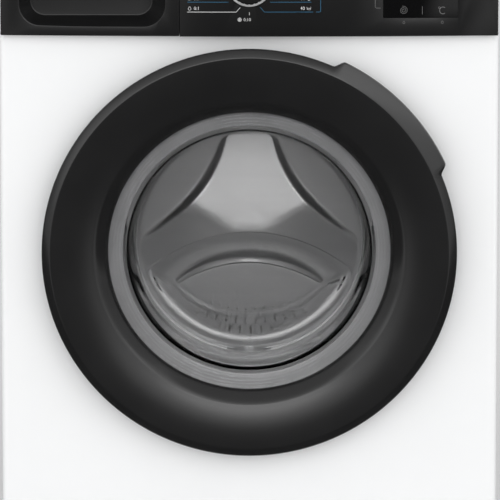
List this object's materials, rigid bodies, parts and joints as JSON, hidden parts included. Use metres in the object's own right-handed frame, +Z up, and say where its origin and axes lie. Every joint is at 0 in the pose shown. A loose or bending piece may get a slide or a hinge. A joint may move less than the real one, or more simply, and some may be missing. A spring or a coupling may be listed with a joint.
{
  "type": "front load washing machine",
  "caption": "Free-standing front load washing machine: white cabinet, black control fascia with programme knob and detergent drawer, round black door with bowl glass over a steel drum.",
  "frame": {"origin": "centre of the bounding box's underside, on the floor under the feet", "axes": "+Z up, the door faces -Y, +X to the right as seen from the front"},
  "size_m": [0.6, 0.474, 0.85],
  "materials": {
    "white_paint": "satin enamel",
    "white_plastic": "satin",
    "worktop_laminate": "fine matt",
    "galvanised": "zinc coated",
    "black_fascia": "satin",
    "black_door": "polished",
    "display_glass": "gloss",
    "door_glass": "clear",
    "chrome_ring": "satin",
    "steel": "brushed",
    "zinc_steel": "zinc plated",
    "dark_plastic": "matt",
    "grey_plastic": "matt",
    "tub_plastic": "matt",
    "drawer_plastic": "matt",
    "blue_plastic": "matt",
    "rubber": "matt",
    "hose_rubber": "matt",
    "cast_weight": "rough",
    "aluminium": "cast",
    "board": "laminate"
  },
  "bodies": {
    "cabinet": {"cabinet_wrap": "white_paint", "front_panel": "white_paint", "rear_cover": "galvanised", "base_tray": "grey_plastic", "plinth": "white_paint", "worktop_board": "worktop_laminate", "worktop_frame": "white_plastic", "control_panel": "black_fascia", "display_window": "display_glass", "control_board": "board", "dispenser_housing": "drawer_plastic", "inlet_valve": "white_plastic", "door_lock": "dark_plastic", "hinge_bracket": "zinc_steel", "door_gasket": "rubber", "gasket_clamp": "zinc_steel", "drain_pump": "dark_plastic", "drain_hose": "hose_rubber", "power_gland": "dark_plastic", "transit_caps": "dark_plastic", "foot_locknuts": "zinc_steel", "cabinet_screws": "zinc_steel", "damper_cylinders": "grey_plastic", "dispenser_hose": "hose_rubber"},
    "knob": {"programme_knob": "black_fascia", "knob_ring": "chrome_ring"},
    "button": {"start_button": "black_fascia"},
    "drawer": {"drawer_front": "black_fascia", "detergent_drawer": "drawer_plastic", "softener_siphon": "blue_plastic"},
    "flap": {"pump_flap": "white_plastic"},
    "filter": {"pump_filter": "grey_plastic"},
    "front_left_foot": {"foot_front_left": "dark_plastic"},
    "front_right_foot": {"foot_front_right": "dark_plastic"},
    "rear_left_foot": {"foot_rear_left": "dark_plastic"},
    "rear_right_foot": {"foot_rear_right": "dark_plastic"},
    "door": {"door_outer_ring": "black_door", "door_inner_ring": "grey_plastic", "door_glass": "door_glass", "hinge_leaf": "zinc_steel", "hinge_pin": "steel"},
    "hook": {"door_hook": "zinc_steel"},
    "tub": {"tub_front": "tub_plastic", "tub_rear": "tub_plastic", "front_counterweight": "cast_weight", "top_counterweight": "cast_weight", "heating_element": "steel", "drum_bearings": "steel", "motor_body": "zinc_steel", "drive_belt": "hose_rubber", "damper_rods": "steel", "suspension_springs": "zinc_steel", "sump_hose": "hose_rubber"},
    "drum": {"drum_shell": "steel", "drum_back": "steel", "drum_lifters": "drawer_plastic", "drum_spider": "aluminium", "drum_shaft": "steel", "drum_pulley": "aluminium"},
    "motor": {"motor_pulley": "steel"}
  },
  "joints": [
    {"name": "door_hinge", "type": "hinge", "parent": "cabinet", "child": "door", "pos_m": [-0.238, -0.219, 0.427], "axis": [0, 0, -1], "range_deg": [0, 120]},
    {"name": "door_hook_pivot", "type": "hinge", "parent": "door", "child": "hook", "pos_m": [0.2, -0.214, 0.427], "axis": [0, 0, -1], "range_deg": [0, 8], "stiffness_Nm_per_rad": 0.5, "springref_deg": -5.73},
    {"name": "programme_knob_turn", "type": "hinge", "parent": "cabinet", "child": "knob", "pos_m": [0, -0.225, 0.754], "axis": [0, -1, 0], "continuous": true},
    {"name": "start_button_press", "type": "slide", "parent": "cabinet", "child": "button", "axis": [0, 1, 0], "range_m": [0, 0.002], "stiffness_N_per_m": 400, "springref_m": -0.001},
    {"name": "detergent_drawer_slide", "type": "slide", "parent": "cabinet", "child": "drawer", "axis": [0, -1, 0], "range_m": [0, 0.185]},
    {"name": "pump_flap_hinge", "type": "hinge", "parent": "cabinet", "child": "flap", "pos_m": [0.208, -0.197, 0.034], "axis": [1, 0, 0], "range_deg": [0, 90]},
    {"name": "pump_filter_turn", "type": "hinge", "parent": "cabinet", "child": "filter", "pos_m": [0.206, -0.18, 0.062], "axis": [0, -1, 0], "range_deg": [0, 90]},
    {"name": "front_left_foot_height", "type": "slide", "parent": "cabinet", "child": "front_left_foot", "axis": [0, 0, -1], "range_m": [0, 0.012]},
    {"name": "front_right_foot_height", "type": "slide", "parent": "cabinet", "child": "front_right_foot", "axis": [0, 0, -1], "range_m": [0, 0.012]},
    {"name": "rear_left_foot_height", "type": "slide", "parent": "cabinet", "child": "rear_left_foot", "axis": [0, 0, -1], "range_m": [0, 0.012]},
    {"name": "rear_right_foot_height", "type": "slide", "parent": "cabinet", "child": "rear_right_foot", "axis": [0, 0, -1], "range_m": [0, 0.012]},
    {"name": "tub_float", "type": "slide", "parent": "cabinet", "child": "tub", "axis": [0, 0, 1], "range_m": [-0.008, 0.008], "stiffness_N_per_m": 8000, "springref_m": 0.0461, "deforming": ["door_gasket", "suspension_springs", "sump_hose", "dispenser_hose"]},
    {"name": "drum_spin", "type": "hinge", "parent": "tub", "child": "drum", "pos_m": [0, 0.15, 0.427], "axis": [0, 1, 0], "continuous": true},
    {"name": "motor_spin", "type": "hinge", "parent": "tub", "child": "motor", "pos_m": [0.095, 0.2, 0.112], "axis": [0, 1, 0], "continuous": true}
  ],
  "couplings": [
    {"joint": "motor_spin", "follows": "drum_spin", "ratio": 14}
  ]
}
